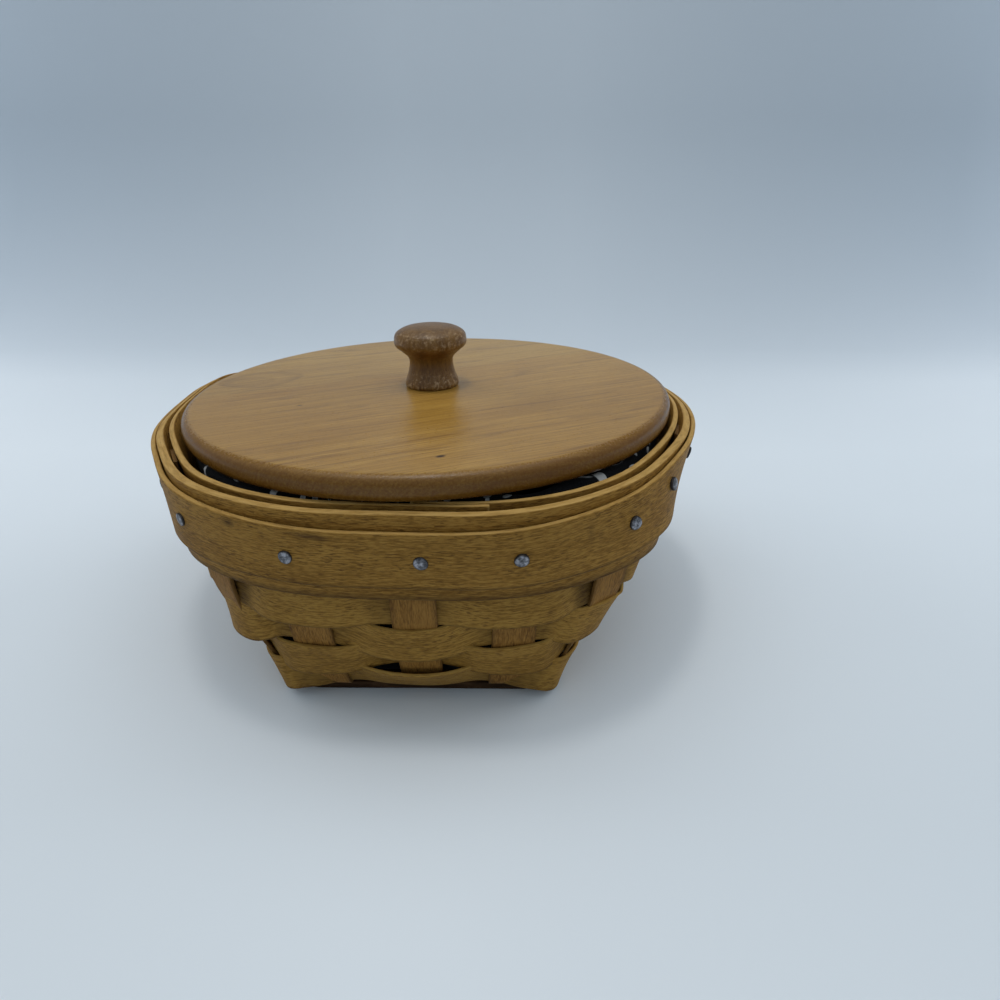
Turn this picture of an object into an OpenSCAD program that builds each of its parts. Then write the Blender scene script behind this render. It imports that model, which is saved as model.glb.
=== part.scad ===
// Lidded splint basket: a woven tub on an oblong base that opens out to a
// round rim, with a loose round board lid and a turned knob.
// Millimetres, +Z up, origin at the centre of the base on the table.

/* [Splints] */
// Width of the long and cross splints
splint_w = 12.7; // [8:0.1:18]
// Thickness of every splint
splint_t = 1.1; // [0.8:0.05:1.6]
// Spacing of the three long splints
long_pitch = 28; // [20:0.5:36]
// Spacing of the seven cross splints
cross_pitch = 20.1; // [17:0.1:26]
// Height of a weaver
weaver_h = 10.9; // [8:0.1:11]
// Height of the lowest weaver's middle
weaver_z = 8.6; // [8:0.1:10]
// Spacing of the weavers
weaver_pitch = 11.1; // [11:0.1:12]

/* [Wall] */
// Half width of the wall at its foot
foot_x = 39; // [30:0.5:50]
// Half length of the wall at its foot
foot_y = 70; // [68:0.5:85]
// Half width of the wall at the rim
rim_x = 87.3; // [70:0.1:100]
// Half length of the wall at the rim
rim_y = 84.8; // [70:0.1:100]
// Squareness of the rim, 2 for an ellipse
rim_n = 2.16; // [2:0.02:3]
// Height of the rim at the two ends
rim_z = 72.0; // [60:0.1:90]
// Extra height of the rim at the two sides
rim_rise = 3.0; // [0:0.1:6]

/* [Bands] */
// Thickness of the outer band
band_t = 2.0; // [1.5:0.1:3]
// Thickness of the inner band
inner_t = 1.4; // [1.2:0.1:1.6]
// Height of the inner and outer bands
band_h = 25.6; // [20:0.1:32]
// Thickness of the trim band
trim_t = 1.9; // [1.2:0.1:3]
// Height of the trim band
trim_h = 15.7; // [12:0.1:22]
// Drop of the trim band below the rim
trim_drop = 4.8; // [2:0.1:8]
// How much higher the trim band's top edge runs at the two sides
trim_rise = 4.2; // [0:0.1:5]
// Diameter of a tack head
tack_d = 4.2; // [3:0.1:6]
// Height of a tack head
tack_h = 0.9; // [0.5:0.1:1.5]

/* [Lid] */
// Diameter of the lid
lid_d = 165.6; // [150:0.2:166]
// Thickness of the lid
lid_t = 7.6; // [5:0.1:12]
// Rounding of the lid's edges
lid_r = 3; // [1:0.1:3.5]
// Distance of the glue line behind the middle of the lid
glue_off = 18.7; // [12:0.1:40]
// Turn of the grain from the basket's width
grain_turn = 24; // [0:1:45]
// Diameter of the knob's head
knob_d = 25.2; // [18:0.1:32]
// Height of the knob
knob_h = 21.2; // [14:0.1:26]
// Diameter of the knob screw
screw_d = 3.5; // [2.5:0.1:4.5]

/* [Liner] */
// Thickness of the cloth liner
liner_t = 1.0; // [0.6:0.1:1.5]

/* [Hidden] */

ns = 20;                       // uprights around the wall
base_mid = splint_t + 0.05;    // middle height of the woven base
base_step = splint_t / 2 + 0.05;
foot_z = base_mid + 1.9;       // where the wall starts
weave = splint_t + 0.26;       // middle of a weaver from the middle of the wall
in_face = weave + splint_t / 2 + 0.15;   // inner band's face next to the weave
out_in = in_face + 0.25;       // outer band's face next to the weave
in_out = in_face + inner_t;    // inner band's face towards the liner
out_face = out_in + band_t;
trim_face = out_face + 0.34;
trim_out = trim_face + trim_t;
lid_z = rim_z + 0.45;          // underside of the lid
lid_top = lid_z + lid_t;
front_bow = 2.25;              // how early the wall reaches its full spread
side_bow = 1.15;
corner_bow = 1.65;             // the corners reach it earlier still

function clamp(a, lo, hi) = min(hi, max(lo, a));
function unit(a) = a / norm(a);
function mod(a, n) = a - n * floor(a / n);

// Angle of the rim at each upright, then at any place between two uprights.
quarter = [-90, -70, -49.5, -33, -16.5, 0];
function rim_angle(i) =
    i <= 0 ? quarter[0] + (i < 0 ? -(quarter[1] - quarter[0]) : 0) :
    i <= 5 ? quarter[i] :
    i <= 10 ? -quarter[10 - i] :
    i <= 15 ? 180 + quarter[i - 10] :
    180 - quarter[20 - i];
function ang_at(k) = let(m = mod(k - 1, ns), i = floor(m), f = m - i)
    rim_angle(i) * (1 - f) + rim_angle(i + 1) * f;

// Foot of the wall: straight along each side, rounded at the corners.
function foot_quarter(q) =     // q from 0 at mid front to 5 at mid right
    q <= 1 ? [q * long_pitch, -foot_y] :
    q >= 2 ? [foot_x, (q - 5) * cross_pitch] :
    let(f = q - 1, a = [long_pitch + 5.5, -foot_y], b = [foot_x, -3 * cross_pitch - 6.2],
        c = [foot_x, -foot_y])
    f < 0.35 ? [long_pitch, -foot_y] * (1 - f / 0.35) + a * (f / 0.35) :
    f > 0.65 ? [foot_x, -3 * cross_pitch] * ((f - 0.65) / 0.35) + b * ((1 - f) / 0.35) :
    let(g = (f - 0.35) / 0.3) a * pow(1 - g, 2) + c * (2 * g * (1 - g)) + b * g * g;
function quarter_of(k) = let(m = mod(k - 1, ns)) m <= 5 ? m : m <= 10 ? 10 - m : m <= 15 ? m - 10 : 20 - m;
function foot_at(k) = let(m = mod(k - 1, ns))
    m <= 5 ? foot_quarter(m) :
    m <= 10 ? let(p = foot_quarter(10 - m)) [p[0], -p[1]] :
    m <= 15 ? let(p = foot_quarter(m - 10)) [-p[0], -p[1]] :
    let(p = foot_quarter(20 - m)) [-p[0], p[1]];

function rim_at(k) = let(a = ang_at(k), c = cos(a), s = sin(a),
    r = pow(pow(abs(c) / rim_x, rim_n) + pow(abs(s) / rim_y, rim_n), -1 / rim_n)) [r * c, r * s];
function top_z(k) = rim_z + rim_rise * pow(cos(ang_at(k)), 2);

// Middle of the wall: k runs around the uprights, v from the foot to the rim.
function wall(k, v) = let(c2 = pow(cos(ang_at(k)), 2),
    b = side_bow * c2 + front_bow * (1 - c2) + corner_bow * exp(-pow((quarter_of(k) - 2) / 0.75, 2)),
    g = 1 - sign(1 - v) * pow(abs(1 - v), b), p = foot_at(k) * (1 - g) + rim_at(k) * g)
    [p[0], p[1], foot_z + v * (top_z(k) - foot_z)];
function wall_n(k, v) = unit(cross(wall(k + 0.04, v) - wall(k - 0.04, v), wall(k, v + 0.01) - wall(k, v - 0.01)));
function off(k, v, o) = wall(k, v) + wall_n(k, v) * o;
function v_of(z) = (z - foot_z) / (rim_z - foot_z);

// Closed skin over rings of equal length, each ring a closed outline.
module skin(rings, closed = false) {
    n = len(rings); m = len(rings[0]);
    pts = [for (r = rings) each r];
    side = [for (i = [0:(closed ? n : n - 1) - 1]) for (j = [0:m - 1])
        let(a = i * m + j, b = i * m + (j + 1) % m, c = ((i + 1) % n) * m + (j + 1) % m, d = ((i + 1) % n) * m + j)
        each [[a, b, c], [a, c, d]]];
    caps = closed ? [] : concat(
        [for (j = [1:m - 2]) [0, j + 1, j]],
        [for (j = [1:m - 2]) [(n - 1) * m, (n - 1) * m + j, (n - 1) * m + j + 1]]);
    polyhedron(points = pts, faces = concat(side, caps), convexity = 10);
}

// One splint: up the wall at upright k0, across the base, up the wall at k1.
function step(u) = let(f = mod(u, 2), w = f > 1 ? 2 - f : f) w < 0.36 ? 1 : w > 0.64 ? -1 : 1 - (w - 0.36) / 0.14;
up_v = [0.965, 0.88, 0.8, 0.73, 0.66, 0.59, 0.52, 0.45, 0.385, 0.32, 0.26, 0.205, 0.155, 0.11, 0.07, 0.035, 0.01];
function wall_ring(k, v) = let(
    a = splint_w / 2 / (norm(wall(k, v) - wall(k - 0.25, v)) / 0.25),
    b = splint_w / 2 / (norm(wall(k + 0.25, v) - wall(k, v)) / 0.25), h = splint_t / 2)
    [off(k - a, v, h), off(k, v, h), off(k + b, v, h), off(k + b, v, -h), off(k, v, -h), off(k - a, v, -h)];
function flat_ring(p, t, n) = let(h = splint_t / 2, w = splint_w / 2)
    [p - t * w + n * h, p + n * h, p + t * w + n * h, p + t * w - n * h, p - n * h, p - t * w - n * h];
// s is +1 for a long splint (runs along Y) and -1 for a cross splint (along X).
function base_run(at, s, half, pitch, sign) = let(
    n = floor(half / pitch + 0.001),
    us = concat([-half], [for (i = [-n:n]) for (f = [-0.36, 0.36]) let(u = (i + f) * pitch) if (abs(u) < half - 0.3) u], [half]))
    [for (u = us) let(z = base_mid + sign * base_step * step(u / pitch))
        s > 0 ? [at, u, z] : [u, at, z]];
module splint(k0, k1, at, s, reach, pitch, sign) {
    t = s > 0 ? [1, 0, 0] : [0, -1, 0];
    run = [for (p = base_run(at, s, reach, pitch, sign)) p];
    first = run[0]; last = run[len(run) - 1];
    d = s > 0 ? [0, 1, 0] : [1, 0, 0];
    foot0 = wall(k0, 0.01); foot1 = wall(k1, 0.01);
    // the turn from the base into the wall
    turn0 = [for (q = [0.75, 0.4]) let(a = q * 78)
        let(c = first * (1 - q) + foot0 * q)
        flat_ring([c[0], c[1], first[2] + (foot0[2] - first[2]) * (1 - cos(a)) * 0.95] - d * 0.5 * sin(2 * a),
            t, unit(-d * sin(a) - [0, 0, 1] * cos(a)))];
    turn1 = [for (q = [0.4, 0.75]) let(a = q * 78)
        let(c = last * (1 - q) + foot1 * q)
        flat_ring([c[0], c[1], last[2] + (foot1[2] - last[2]) * (1 - cos(a)) * 0.95] + d * 0.5 * sin(2 * a),
            t, unit(d * sin(a) - [0, 0, 1] * cos(a)))];
    rings = concat(
        [for (v = up_v) wall_ring(k0, v)],
        turn0,
        [for (p = run) flat_ring(p, t, [0, 0, -1])],
        turn1,
        [for (i = [len(up_v) - 1:-1:0]) let(r = wall_ring(k1, up_v[i])) [r[2], r[1], r[0], r[5], r[4], r[3]]]);
    skin(rings);
}
module long_splint(i) {      // i is -1, 0 or 1
    splint(1 + i, 11 - i, i * long_pitch, 1, foot_y - 3.2, cross_pitch, i == 0 ? 1 : -1);
}
module cross_splint(j) {     // j runs from 1 at the front to 7 at the back
    splint(19 - (j - 1) * 1, 3 + (j - 1), (j - 4) * cross_pitch, -1, foot_x - 3.2, long_pitch, (j % 2 == 0) ? -1 : 1);
}

// One weaver: outside every second upright, inside the others.
stops = [0, 0.2, 0.32, 0.42, 0.5, 0.58, 0.68, 0.8];
function sway(k, odd) = let(m = mod(k + odd, 2), w = m > 1 ? 2 - m : m) w <= 0.42 ? 1 : w >= 0.58 ? -1 : 1 - (w - 0.42) / 0.08;
module weaver(row) {         // row 1 is the lowest
    z = weaver_z + (row - 1) * weaver_pitch;
    va = v_of(z - weaver_h / 2); vb = v_of(z + weaver_h / 2);
    v1 = va * 2 / 3 + vb / 3; v2 = va / 3 + vb * 2 / 3;
    h = splint_t / 2;
    skin([for (i = [0:ns - 1]) for (f = stops) let(k = i + f, o = weave * sway(k, row % 2 == 0 ? 0 : 1))
        [off(k, va, o - h), off(k, va, o + h), off(k, v1, o + h), off(k, v2, o + h), off(k, vb, o + h), off(k, vb, o - h), off(k, v2, o - h), off(k, v1, o - h)]], closed = true);
}

// A band around the wall between two offsets and two heights.
module band(va, vb, o1, o2, n = 5, ra = 0, rb = 0) {    // ra and rb lift its edges at the sides
    skin([for (i = [0:ns * n - 1]) let(k = i / n, c2 = pow(cos(ang_at(k)), 2), a = va + ra * c2, b = vb + rb * c2, vs = [a, (a + b) / 2, b])
        [off(k, vs[0], o1), off(k, vs[0], o2), off(k, vs[1], o2), off(k, vs[2], o2), off(k, vs[2], o1), off(k, vs[1], o1)]], closed = true);
}
trim_lift = trim_rise / (rim_z - foot_z);
function v_trim(k) = v_of(rim_z - trim_drop - trim_h / 2) + trim_lift * 0.75 * pow(cos(ang_at(k)), 2);
module tack() {
    rotate_extrude($fn = 32) polygon(concat([[0, -3.2], [0.7, -2.6], [0.7, 0.0], [tack_d / 2, 0.0]],
        [for (a = [0:15:90]) [tack_d / 2 * cos(a) * (a < 90 ? 1 : 0), 0.2 + (tack_h - 0.2) * sin(a)]]));
}

// Cloth liner: a gathered side panel sewn around a flat floor panel.
liner_o1 = in_out + 0.5;
liner_o2 = liner_o1 + liner_t;
liner_z = 2 * base_mid + 0.3;
liner_ks = [for (i = [0:2 * ns - 1]) i / 2];
module liner_wall() {
    vs = [0.87, 0.7, 0.5, 0.36, 0.24, 0.14, 0.06, v_of(liner_z - 0.3)];
    skin([for (k = liner_ks) concat([for (v = vs) off(k, v, -liner_o2)],
        [for (i = [len(vs) - 1:-1:0]) off(k, vs[i], -liner_o1)])], closed = true);
}
module liner_panel() {
    v = v_of(liner_z + 0.5);
    translate([0, 0, liner_z]) linear_extrude(liner_t)
        polygon([for (k = liner_ks) let(p = off(k, v, -liner_o2 - 0.25)) [p[0], p[1]]]);
}

module lid_disc() {
    r = lid_d / 2;
    difference() {
        translate([0, 0, lid_z]) rotate_extrude($fn = 180) polygon(concat([[0, 0]],
            [for (a = [-90:15:0]) [r - lid_r + lid_r * cos(a), lid_r + lid_r * sin(a)]],
            [for (a = [0:15:90]) [r - lid_r + lid_r * cos(a), lid_t - lid_r + lid_r * sin(a)]],
            [[0, lid_t]]));
        translate([0, 0, lid_z - 1]) cylinder(d = screw_d + 0.4, h = lid_t + 2, $fn = 48);
        translate([0, 0, lid_z - 0.01]) cylinder(d1 = 2 * screw_d + 0.6, d2 = screw_d + 0.4, h = 2.0, $fn = 48);
    }
}
module beyond_glue() { rotate([0, 0, grain_turn]) translate([-lid_d, glue_off, lid_z - 5]) cube([2 * lid_d, 2 * lid_d, lid_t + 10]); }

// Smooth outline through a few turning points.
function spline(p, q, r, s, t) = 0.5 * ((2 * q) + (r - p) * t + (2 * p - 5 * q + 4 * r - s) * t * t + (3 * q - p - 3 * r + s) * t * t * t);
knob_pts = [[0.35, 0], [0.372, 0.05], [0.355, 0.14], [0.315, 0.28], [0.302, 0.43], [0.335, 0.54], [0.43, 0.62], [0.497, 0.71], [0.497, 0.81], [0.44, 0.91], [0.3, 0.975], [0.14, 1.0]];
function knob_line() = let(n = len(knob_pts)) [for (i = [0:n - 2]) for (t = [0, 0.34, 0.67])
    let(a = knob_pts[max(0, i - 1)], b = knob_pts[i], c = knob_pts[i + 1], d = knob_pts[min(n - 1, i + 2)], e = spline(a, b, c, d, t)) [e[0] * knob_d, e[1] * knob_h]];

module long_splint_left() color([0.74, 0.56, 0.34]) long_splint(-1);
module long_splint_middle() color([0.76, 0.58, 0.36]) long_splint(0);
module long_splint_right() color([0.72, 0.54, 0.33]) long_splint(1);
module cross_splint_1() color([0.55, 0.38, 0.22]) cross_splint(1);
module cross_splint_2() color([0.72, 0.55, 0.35]) cross_splint(2);
module cross_splint_3() color([0.70, 0.53, 0.33]) cross_splint(3);
module cross_splint_4() color([0.73, 0.56, 0.36]) cross_splint(4);
module cross_splint_5() color([0.70, 0.53, 0.33]) cross_splint(5);
module cross_splint_6() color([0.72, 0.55, 0.35]) cross_splint(6);
module cross_splint_7() color([0.68, 0.50, 0.31]) cross_splint(7);
module weaver_1() color([0.66, 0.50, 0.28]) weaver(1);
module weaver_2() color([0.69, 0.52, 0.29]) weaver(2);
module weaver_3() color([0.67, 0.50, 0.27]) weaver(3);
module weaver_4() color([0.68, 0.51, 0.28]) weaver(4);
module weaver_5() color([0.66, 0.49, 0.27]) weaver(5);
module inner_band() color([0.64, 0.48, 0.26]) band(v_of(rim_z - band_h), 1.0, -in_out, -in_face);
module outer_band() color([0.66, 0.49, 0.26]) band(v_of(rim_z - 0.5 - band_h), v_of(rim_z - 0.5), out_in, out_face);
module trim_band() color([0.65, 0.47, 0.25]) band(v_of(rim_z - trim_drop - trim_h), v_of(rim_z - trim_drop), trim_face, trim_out, ra = trim_lift / 2, rb = trim_lift);
module tacks() color([0.55, 0.57, 0.60]) for (i = [0:ns - 1]) {
    p = off(i, v_trim(i), trim_out - 0.02); n = wall_n(i, v_trim(i));
    translate(p) rotate([0, acos(n[2]), atan2(n[1], n[0])]) tack();
}
module liner_side() color([0.08, 0.08, 0.09]) liner_wall();
module liner_floor() color([0.09, 0.09, 0.10]) liner_panel();
module lid_board_front() color([0.66, 0.47, 0.28]) difference() { lid_disc(); beyond_glue(); }
module lid_board_back() color([0.72, 0.53, 0.33]) intersection() { lid_disc(); beyond_glue(); }
module knob() color([0.45, 0.28, 0.15]) translate([0, 0, lid_top]) difference() {
    rotate_extrude($fn = 96) polygon(concat([[0, 0]], knob_line(), [[0.14 * knob_d, knob_h], [0, knob_h]]));
    translate([0, 0, -1]) cylinder(d = screw_d + 0.1, h = 13.2, $fn = 48);
}
module knob_screw() color([0.62, 0.62, 0.60]) translate([0, 0, lid_z]) {
    cylinder(d1 = 2 * screw_d, d2 = screw_d, h = 1.75, $fn = 48);
    translate([0, 0, 1.7]) cylinder(d = screw_d, h = lid_t + 10, $fn = 48);
}

long_splint_left();
long_splint_middle();
long_splint_right();
cross_splint_1();
cross_splint_2();
cross_splint_3();
cross_splint_4();
cross_splint_5();
cross_splint_6();
cross_splint_7();
weaver_1();
weaver_2();
weaver_3();
weaver_4();
weaver_5();
inner_band();
outer_band();
trim_band();
tacks();
liner_side();
liner_floor();
lid_board_front();
lid_board_back();
knob();
knob_screw();
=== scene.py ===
import math

import bmesh
import bpy
import numpy as np
from mathutils import Matrix, Vector


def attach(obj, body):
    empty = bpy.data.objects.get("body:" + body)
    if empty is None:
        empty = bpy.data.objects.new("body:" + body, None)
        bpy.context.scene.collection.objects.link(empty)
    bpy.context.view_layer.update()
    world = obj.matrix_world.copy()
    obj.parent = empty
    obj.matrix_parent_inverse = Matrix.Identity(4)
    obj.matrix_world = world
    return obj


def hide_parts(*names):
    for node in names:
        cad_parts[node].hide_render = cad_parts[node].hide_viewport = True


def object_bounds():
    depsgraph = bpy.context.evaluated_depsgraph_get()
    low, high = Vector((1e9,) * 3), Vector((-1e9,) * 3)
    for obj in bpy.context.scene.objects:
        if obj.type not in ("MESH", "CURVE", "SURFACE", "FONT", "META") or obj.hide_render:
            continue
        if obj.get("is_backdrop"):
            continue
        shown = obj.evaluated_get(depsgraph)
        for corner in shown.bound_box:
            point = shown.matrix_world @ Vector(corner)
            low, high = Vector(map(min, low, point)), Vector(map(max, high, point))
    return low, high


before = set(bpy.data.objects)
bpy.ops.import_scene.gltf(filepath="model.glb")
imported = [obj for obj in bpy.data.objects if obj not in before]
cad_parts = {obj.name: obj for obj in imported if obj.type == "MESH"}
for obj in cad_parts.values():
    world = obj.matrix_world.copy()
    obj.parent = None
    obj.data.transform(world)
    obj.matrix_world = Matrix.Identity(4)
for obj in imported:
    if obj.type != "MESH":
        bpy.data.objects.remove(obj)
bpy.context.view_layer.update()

MM = 0.001

# ---------------------------------------------------------------- dimensions
# The same wall as the construction model, in millimetres.
SPLINT_W, SPLINT_T = 12.7, 1.1
LONG_PITCH, CROSS_PITCH = 28.0, 20.1
FOOT_X, FOOT_Y = 39.0, 70.0
RIM_X, RIM_Y, RIM_N = 86.9, 84.8, 2.16
RIM_Z, RIM_RISE = 71.8, 2.9
# hand-bent rim: how far it stands out from its even curve at each upright
DENT = [-0.3, -2.0, 1.2, 0.5, -2.0, -1.1, 0.5, 0, 0, 0, 0, 0, -0.6, -0.4, 3.4, 2.7, 0.3, 0.4, -0.9, 1.0]
# and how far the wall swells out below it, at the right side and low at the left corner
SWELL_HIGH = [0, 0, 0.3, 1.4, 3.7, 4.0, 3.6, 2.0, 0.8, 0, 0, 0, 0, 0, 0, 0, 0, 0, 0, 0]
# how much higher the rim stands at the left, and how much lower at the left-back
LIFT = [0, 0, 0, 0, 0, 0, 0, 0, 0, 0, -0.4, -1.6, -3.2, -4.0, -2.6, 1.6, 1.5, 0.3, 0, 0]
SWELL_LOW = [0, 0, 0, 0, 0, 0, 0, 0, 0, 0, 0, 0, 0, 0, 0, 0.6, 1.6, 2.4, 2.4, 1.4]
BAND_H = 25.6
# faces of the bands from the middle of the wall, at their lower and upper edges
OUT_T, OUT_LO, OUT_HI = 2.55, 1.80, 1.05
TRIM_T, TRIM_LO, TRIM_HI = 1.6, 4.45, 3.95
IN_T, IN_LO = 1.85, 1.85
IN_HI = [2.45, 3.0, 2.65, 2.4, 2.5, 2.6, 2.7, 2.7, 2.7, 2.7, 2.7, 2.9, 2.7, 2.7, 2.7, 2.7, 3.0, 2.6, 2.5, 2.4]
# the trim band runs lower at the two ends than at the sides
TRIM_TOP, TRIM_TOP_RISE, TRIM_BOTTOM, TRIM_BOTTOM_RISE = 4.8, 4.2, 20.6, 2.1
LID_R, LID_T, LID_ROUND = 83.1, 7.6, 3.0
LID_TILT, LID_SHIFT = 0.0135, (-0.05, -0.45)
GLUE_OFF, GRAIN_TURN = 18.7, 24.0
KNOB_D, KNOB_H = 25.2, 21.2
NS = 20
BASE_MID, BASE_STEP = SPLINT_T + 0.05, SPLINT_T / 2 + 0.05
FOOT_Z = BASE_MID + 1.9
LID_Z = RIM_Z + 0.6
LID_TOP = LID_Z + LID_T
FRONT_BOW, SIDE_BOW, CORNER_BOW = 2.25, 1.15, 1.65
QUARTER = np.array([-90, -70, -49.5, -33, -16.5, 0.0])


# ---------------------------------------------------------------- the wall
def station_angles():
    a = np.zeros(21)
    for i in range(21):
        if i <= 5:
            a[i] = QUARTER[i]
        elif i <= 10:
            a[i] = -QUARTER[10 - i]
        elif i <= 15:
            a[i] = 180 + QUARTER[i - 10]
        else:
            a[i] = 180 - QUARTER[20 - i]
    return a


STATION = station_angles()


def ang_at(k):
    return np.interp(np.mod(np.asarray(k, float) - 1, NS), np.arange(21), STATION)


def foot_quarter(q):
    q = np.asarray(q, float)
    a = np.array([LONG_PITCH + 5.5, -FOOT_Y])
    b = np.array([FOOT_X, -3 * CROSS_PITCH - 6.2])
    c = np.array([FOOT_X, -FOOT_Y])
    f = np.clip(q - 1, 0, 1)[..., None]
    p0 = np.array([LONG_PITCH, -FOOT_Y])
    p1 = np.array([FOOT_X, -3 * CROSS_PITCH])
    g = np.clip((f - 0.35) / 0.3, 0, 1)
    corner = a * (1 - g) ** 2 + c * (2 * g * (1 - g)) + b * g * g
    mid = np.where(f < 0.35, p0 * (1 - f / 0.35) + a * (f / 0.35),
                   np.where(f > 0.65, p1 * ((f - 0.65) / 0.35) + b * ((1 - f) / 0.35), corner))
    front = np.stack([q * LONG_PITCH, np.full_like(q, -FOOT_Y)], -1)
    side = np.stack([np.full_like(q, FOOT_X), (q - 5) * CROSS_PITCH], -1)
    return np.where((q <= 1)[..., None], front, np.where((q >= 2)[..., None], side, mid))


def quarter_of(k):
    m = np.mod(np.asarray(k, float) - 1, NS)
    return np.where(m <= 5, m, np.where(m <= 10, 10 - m, np.where(m <= 15, m - 10, 20 - m)))


def foot_at(k):
    m = np.mod(np.asarray(k, float) - 1, NS)
    q = quarter_of(k)
    sx = np.where(m <= 10, 1.0, -1.0)
    sy = np.where((m <= 5) | (m > 15), 1.0, -1.0)
    p = foot_quarter(q)
    return p * np.stack([sx, sy], -1)


def rim_at(k):
    a = np.radians(ang_at(k))
    c, s = np.cos(a), np.sin(a)
    r = ((np.abs(c) / RIM_X) ** RIM_N + (np.abs(s) / RIM_Y) ** RIM_N) ** (-1 / RIM_N)
    return np.stack([r * c, r * s], -1)


def at_stations(values, k):
    """Smooth closed curve through one value at each upright."""
    y = np.asarray(values, float)
    k = np.mod(np.asarray(k, float), NS)
    i = np.floor(k).astype(int)
    t = k - i
    a, b, c, d = y[(i - 1) % NS], y[i % NS], y[(i + 1) % NS], y[(i + 2) % NS]
    return 0.5 * (2 * b + (c - a) * t + (2 * a - 5 * b + 4 * c - d) * t * t + (3 * b - a - 3 * c + d) * t ** 3)


def ease(x, lo, hi):
    f = np.clip((np.asarray(x, float) - lo) / (hi - lo), 0, 1)
    return f * f * (3 - 2 * f)


def wall_raw(k, v):
    k, v = np.broadcast_arrays(np.asarray(k, float), np.asarray(v, float))
    c2 = np.cos(np.radians(ang_at(k))) ** 2
    b = SIDE_BOW * c2 + FRONT_BOW * (1 - c2) + CORNER_BOW * np.exp(-((quarter_of(k) - 2) / 0.75) ** 2)
    g = (1 - np.sign(1 - v) * np.abs(1 - v) ** b)[..., None]
    rim = rim_at(k)
    p = foot_at(k) * (1 - g) + rim * g
    out = at_stations(DENT, k) * ease(v, 0.42, 0.85)
    out = out + at_stations(SWELL_HIGH, k) * ease(v, 0.20, 0.50) * (1 - 0.9 * ease(v, 0.78, 1.0))
    out = out + at_stations(SWELL_LOW, k) * ease(v, 0.16, 0.40) * (1 - ease(v, 0.48, 0.70))
    p = p + rim / np.linalg.norm(rim, axis=-1, keepdims=True) * out[..., None]
    z = FOOT_Z + v * (RIM_Z + RIM_RISE * c2 + at_stations(LIFT, k) * v - FOOT_Z)
    return np.concatenate([p, z[..., None]], -1)


# A table of the wall, eased a little along its length so that bent strips run smoothly.
KN, VN = 1000, 75
KG = np.arange(KN) * NS / KN
VG = np.linspace(-0.12, 1.08, VN)
TAB = wall_raw(KG[:, None], VG[None, :])
_taps = np.arange(-16, 17)
_w = np.cos(_taps / 17 * math.pi / 2) ** 2
_w /= _w.sum()
TAB = sum(w * np.roll(TAB, -t, axis=0) for t, w in zip(_taps, _w))


def wall(k, v):
    k, v = np.broadcast_arrays(np.asarray(k, float), np.asarray(v, float))
    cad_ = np.mod(k, NS) * KN / NS
    i = np.floor(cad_).astype(int)
    fi = (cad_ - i)[..., None]
    i0, i1 = i % KN, (i + 1) % KN
    fv = np.clip((v - VG[0]) / (VG[1] - VG[0]), 0, VN - 1.001)
    j = np.floor(fv).astype(int)
    fj = (fv - j)[..., None]
    return (TAB[i0, j] * (1 - fi) + TAB[i1, j] * fi) * (1 - fj) + (TAB[i0, j + 1] * (1 - fi) + TAB[i1, j + 1] * fi) * fj


def unit(a):
    return a / np.maximum(np.linalg.norm(a, axis=-1, keepdims=True), 1e-9)


def along(k, v):
    return unit(wall(np.asarray(k) + 0.05, v) - wall(np.asarray(k) - 0.05, v))


def upward(k, v):
    return unit(wall(k, np.asarray(v) + 0.02) - wall(k, np.asarray(v) - 0.02))


def wall_n(k, v):
    return unit(np.cross(along(k, v), upward(k, v)))


def off(k, v, o):
    return wall(k, v) + wall_n(k, v) * np.asarray(o)[..., None]


def v_of(z):
    return (z - FOOT_Z) / (RIM_Z - FOOT_Z)


# ---------------------------------------------------------------- small tools
def wander(n, step, seed, amount):
    """Smooth seeded wander of n values with a wave length of about step samples."""
    rng = np.random.default_rng(seed)
    m = max(4, int(n / max(step, 1)) + 4)
    y = rng.normal(0, 1, m)
    x = np.linspace(0, m - 1, n)
    i = np.clip(np.floor(x).astype(int), 0, m - 2)
    f = x - i
    f = f * f * (3 - 2 * f)
    return amount * (y[i] * (1 - f) + y[i + 1] * f)


def smooth_along(a, passes, ends=True):
    a = a.copy()
    for _ in range(passes):
        b = a.copy()
        b[1:-1] = 0.25 * a[:-2] + 0.5 * a[1:-1] + 0.25 * a[2:]
        a = b
    return a


def section(w, t, r, nw=8, nr=3):
    """Rounded oblong outline: across, through, edge share."""
    r = min(r, t / 2 - 0.01)
    pts = []
    for i in range(nw + 1):
        pts.append((-(w / 2 - r) + (w - 2 * r) * i / nw, t / 2, 0.0))
    for i in range(1, nr + 1):
        a = math.pi / 2 * i / nr
        pts.append((w / 2 - r + r * math.sin(a), t / 2 - r + r * math.cos(a), i / nr))
    for i in range(0, nr + 1):
        a = math.pi / 2 * i / nr
        pts.append((w / 2 - r + r * math.cos(a), -(t / 2 - r) - r * math.sin(a), 1 - i / nr))
    for i in range(1, nw + 1):
        pts.append(((w / 2 - r) - (w - 2 * r) * i / nw, -t / 2, 0.0))
    for i in range(1, nr + 1):
        a = math.pi / 2 * i / nr
        pts.append((-(w / 2 - r) - r * math.sin(a), -(t / 2 - r) - r * (math.cos(a) - 0) + 0.0, i / nr))
    for i in range(0, nr):
        a = math.pi / 2 * i / nr
        pts.append((-(w / 2 - r) - r * math.cos(a), (t / 2 - r) + r * math.sin(a), 1 - i / nr))
    p = np.array(pts)
    return p[:, 0], p[:, 1], p[:, 2]


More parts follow.
